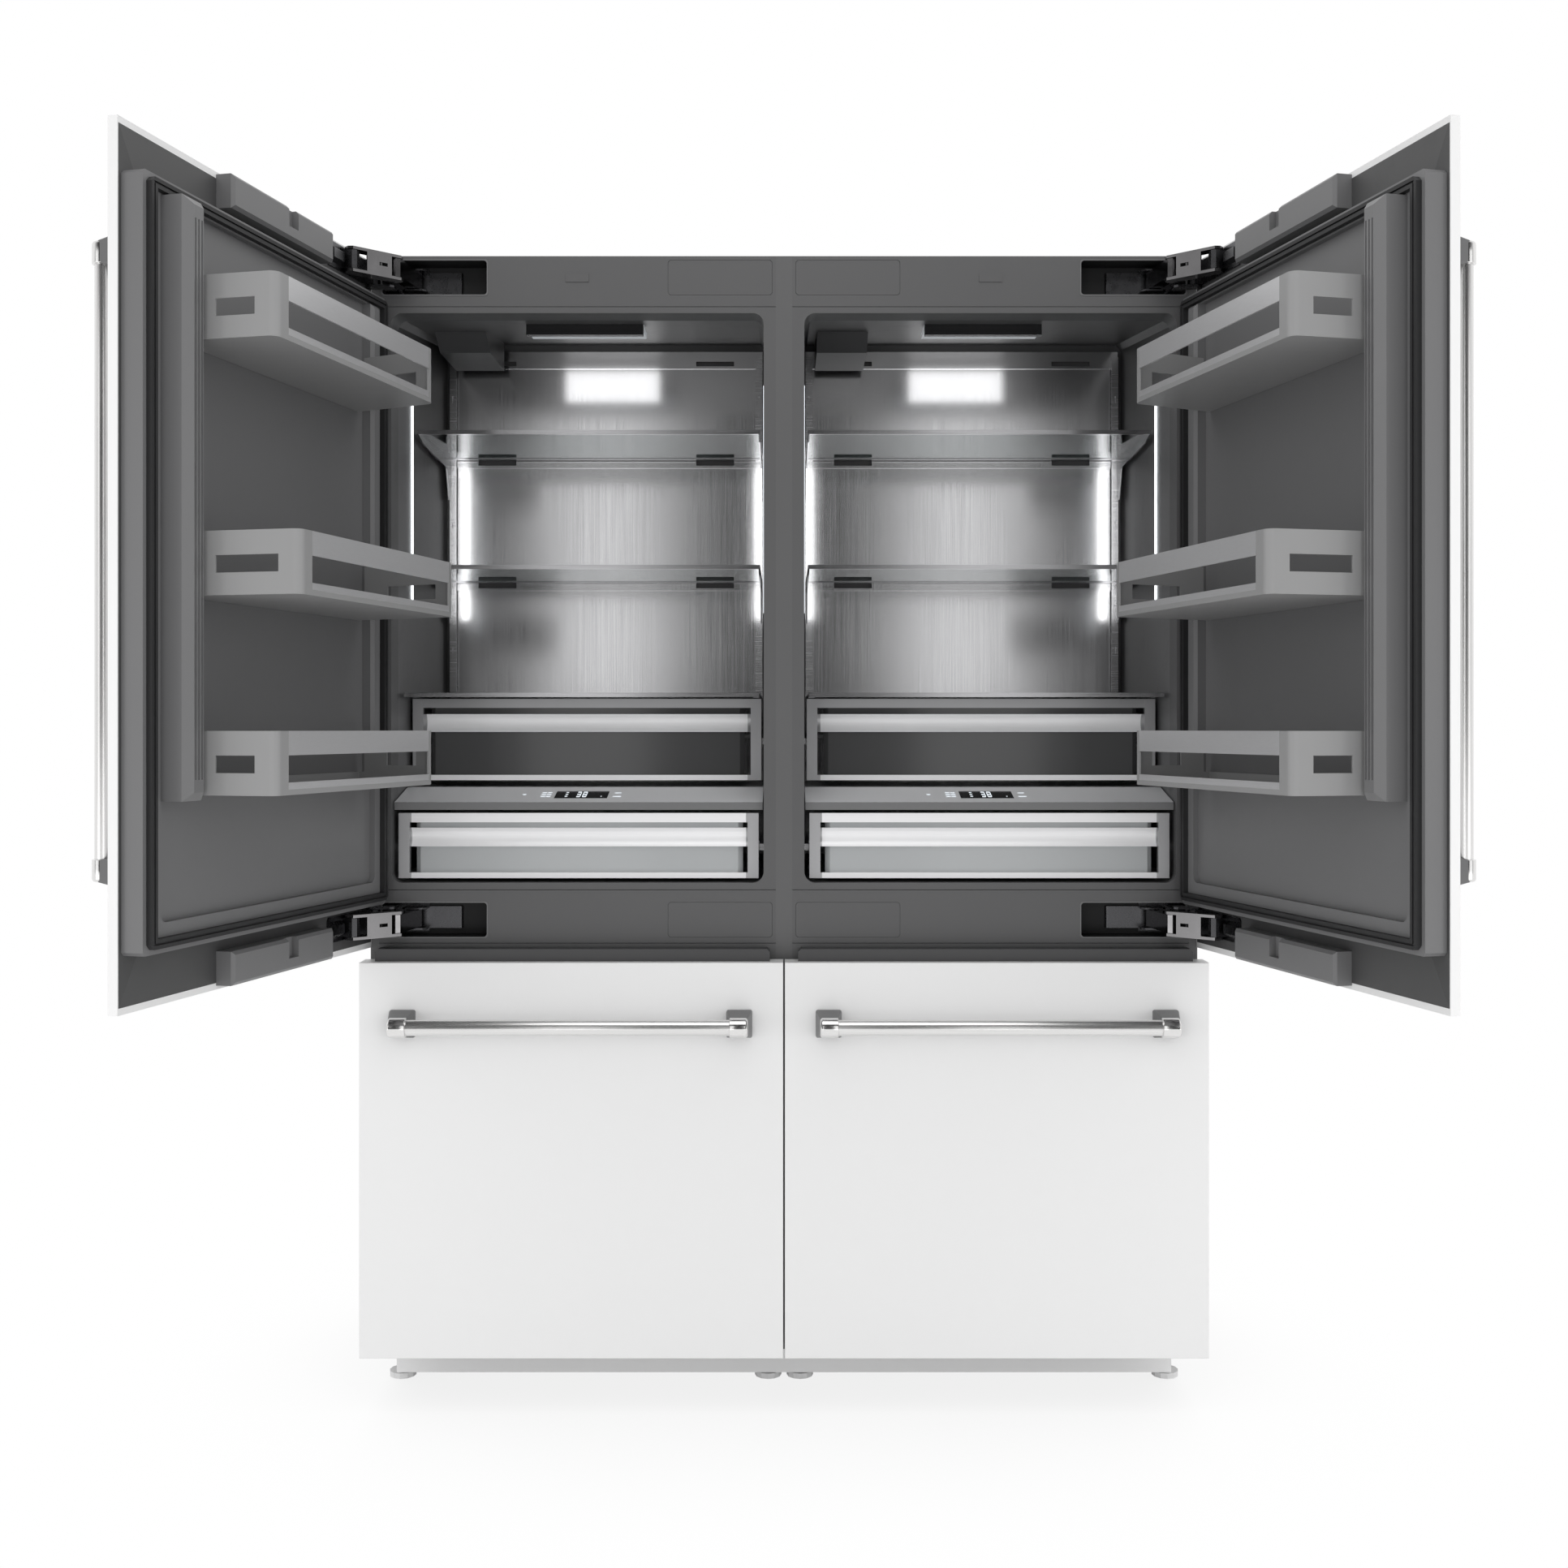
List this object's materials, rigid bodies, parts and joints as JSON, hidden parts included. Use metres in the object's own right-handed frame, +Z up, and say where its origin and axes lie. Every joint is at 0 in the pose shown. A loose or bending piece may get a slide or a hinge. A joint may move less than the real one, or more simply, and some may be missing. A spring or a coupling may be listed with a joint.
{
  "type": "french door refrigerator",
  "caption": "Built-in pair of refrigerator columns with open hinged doors, door bins, glass shelves, crispers and pull-out freezer drawers under white overlay panels.",
  "frame": {"origin": "on the floor, under the centre of the whole box with the doors open as stored", "axes": "+Z up, +Y towards the back of the cabinet, +X to the right as seen from the front"},
  "size_m": [1.9628, 1.316, 2.081],
  "materials": {
    "white_panel": "satin white painted overlay panel",
    "grey_case": "satin grey paint",
    "foam": "matte rigid foam",
    "frame_grey": "fine satin grey",
    "door_grey": "fine satin grey",
    "bin_grey": "satin light grey",
    "steel": "brushed",
    "handle_steel": "brushed",
    "hinge_steel": "polished",
    "seal": "matte black",
    "shelf_glass": "gloss",
    "black_glass": "gloss black",
    "lamp": "frosted diffuser",
    "clear_tub": "gloss smoke tinted clear plastic",
    "freezer_white": "satin light grey",
    "machine_black": "satin black",
    "foot_rubber": "matte black",
    "pale_plinth": "satin pale grey"
  },
  "bodies": {
    "cabinet": {"case_left": "grey_case", "case_right": "grey_case", "foam_left": "foam", "foam_right": "foam", "front_frame_left": "frame_grey", "front_frame_right": "frame_grey", "cavity_liners": "frame_grey", "steel_back_walls": "steel", "shelf_tracks": "steel", "glass_shelves": "shelf_glass", "shelf_trims": "steel", "control_fascias": "frame_grey", "display_windows": "black_glass", "lamps": "lamp", "filter_housings": "frame_grey", "drawer_runners": "steel", "rear_covers": "grey_case", "compressors": "machine_black", "hinge_brackets": "hinge_steel", "base_frame": "machine_black", "levelling_feet": "foot_rubber", "toe_grille": "pale_plinth"},
    "door_left": {"door_panel_left": "white_panel", "door_body_left": "door_grey", "door_gasket_left": "seal", "door_bins_left": "bin_grey", "bin_rails_left": "steel", "door_handle_left": "handle_steel", "hinge_leaf_left": "hinge_steel"},
    "hinge_swing_left": {"hinge_arm_left": "hinge_steel"},
    "hinge_fork_left": {"hinge_link_left": "hinge_steel"},
    "drawer_left": {"drawer_panel_left": "white_panel", "drawer_body_left": "door_grey", "drawer_gasket_left": "seal", "drawer_handle_left": "handle_steel", "freezer_basket_left": "freezer_white"},
    "tray_left": {"freezer_tray_left": "freezer_white"},
    "upper_drawer_left": {"upper_crisper_left": "clear_tub", "upper_crisper_front_left": "steel"},
    "lower_drawer_left": {"lower_crisper_left": "clear_tub", "lower_crisper_front_left": "steel"},
    "door_right": {"door_panel_right": "white_panel", "door_body_right": "door_grey", "door_gasket_right": "seal", "door_bins_right": "bin_grey", "bin_rails_right": "steel", "door_handle_right": "handle_steel", "hinge_leaf_right": "hinge_steel"},
    "hinge_swing_right": {"hinge_arm_right": "hinge_steel"},
    "hinge_fork_right": {"hinge_link_right": "hinge_steel"},
    "drawer_right": {"drawer_panel_right": "white_panel", "drawer_body_right": "door_grey", "drawer_gasket_right": "seal", "drawer_handle_right": "handle_steel", "freezer_basket_right": "freezer_white"},
    "tray_right": {"freezer_tray_right": "freezer_white"},
    "upper_drawer_right": {"upper_crisper_right": "clear_tub", "upper_crisper_front_right": "steel"},
    "lower_drawer_right": {"lower_crisper_right": "clear_tub", "lower_crisper_front_right": "steel"}
  },
  "joints": [
    {"name": "door_swing_left", "type": "hinge", "parent": "cabinet", "child": "door_left", "pos_m": [-0.7385, 0.05698, 1.5], "axis": [0, 0, -1], "range_deg": [-103, 0]},
    {"name": "hinge_arm_swing_left", "type": "hinge", "parent": "cabinet", "child": "hinge_swing_left", "pos_m": [-0.676, 0.11298, 1.5], "axis": [0, 0, -1], "range_deg": [-106, 3]},
    {"name": "hinge_elbow_left", "type": "hinge", "parent": "hinge_swing_left", "child": "hinge_fork_left", "pos_m": [-0.69242, 0.02851, 1.5], "axis": [0, 0, -1], "range_deg": [-3, 106]},
    {"name": "freezer_drawer_slide_left", "type": "slide", "parent": "cabinet", "child": "drawer_left", "axis": [0, -1, 0], "range_m": [0, 0.38]},
    {"name": "freezer_tray_slide_left", "type": "slide", "parent": "drawer_left", "child": "tray_left", "axis": [0, 1, 0], "range_m": [0, 0.15]},
    {"name": "upper_crisper_slide_left", "type": "slide", "parent": "cabinet", "child": "upper_drawer_left", "axis": [0, -1, 0], "range_m": [0, 0.25]},
    {"name": "lower_crisper_slide_left", "type": "slide", "parent": "cabinet", "child": "lower_drawer_left", "axis": [0, -1, 0], "range_m": [0, 0.26]},
    {"name": "door_swing_right", "type": "hinge", "parent": "cabinet", "child": "door_right", "pos_m": [0.7385, 0.05698, 1.5], "axis": [0, 0, 1], "range_deg": [-103, 0]},
    {"name": "hinge_arm_swing_right", "type": "hinge", "parent": "cabinet", "child": "hinge_swing_right", "pos_m": [0.676, 0.11298, 1.5], "axis": [0, 0, 1], "range_deg": [-106, 3]},
    {"name": "hinge_elbow_right", "type": "hinge", "parent": "hinge_swing_right", "child": "hinge_fork_right", "pos_m": [0.69242, 0.02851, 1.5], "axis": [0, 0, 1], "range_deg": [-3, 106]},
    {"name": "freezer_drawer_slide_right", "type": "slide", "parent": "cabinet", "child": "drawer_right", "axis": [0, -1, 0], "range_m": [0, 0.38]},
    {"name": "freezer_tray_slide_right", "type": "slide", "parent": "drawer_right", "child": "tray_right", "axis": [0, 1, 0], "range_m": [0, 0.15]},
    {"name": "upper_crisper_slide_right", "type": "slide", "parent": "cabinet", "child": "upper_drawer_right", "axis": [0, -1, 0], "range_m": [0, 0.25]},
    {"name": "lower_crisper_slide_right", "type": "slide", "parent": "cabinet", "child": "lower_drawer_right", "axis": [0, -1, 0], "range_m": [0, 0.26]}
  ],
  "couplings": [
    {"joint": "hinge_arm_swing_left", "follows": "door_swing_left", "ratio": 1},
    {"joint": "hinge_elbow_left", "follows": "door_swing_left", "ratio": -1},
    {"joint": "hinge_arm_swing_right", "follows": "door_swing_right", "ratio": 1},
    {"joint": "hinge_elbow_right", "follows": "door_swing_right", "ratio": -1}
  ]
}
